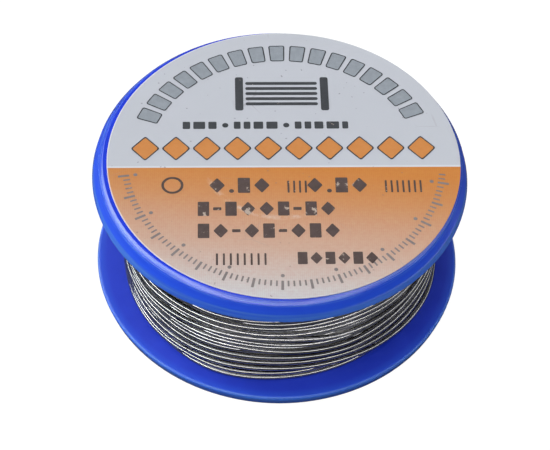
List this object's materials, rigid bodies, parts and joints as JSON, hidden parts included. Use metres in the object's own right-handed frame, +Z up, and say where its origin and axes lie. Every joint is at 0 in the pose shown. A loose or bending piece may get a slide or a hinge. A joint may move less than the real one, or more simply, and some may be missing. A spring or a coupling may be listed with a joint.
{
  "type": "solder wire spool",
  "caption": "Small blue plastic reel wound with flux-cored solder wire, with a round paper label over the upper end of its hub bore.",
  "frame": {"origin": "centre of the lower flange's outer face, on the spindle axis", "axes": "+Z up along the spindle axis towards the labelled flange, +X the label's reading direction"},
  "size_m": [0.05, 0.05, 0.0225],
  "materials": {
    "spool_plastic": "glossy injection-moulded blue polystyrene",
    "label_paper": "printed coated paper, satin",
    "solder": "drawn tin-lead wire, bright with a dull bloom",
    "flux": "amber rosin"
  },
  "bodies": {
    "root": {"lower_half": "spool_plastic", "upper_half": "spool_plastic", "face_label": "label_paper", "solder_winding": "solder", "solder_start_tail": "solder", "solder_free_end": "solder", "flux_cores": "flux"}
  },
  "joints": []
}
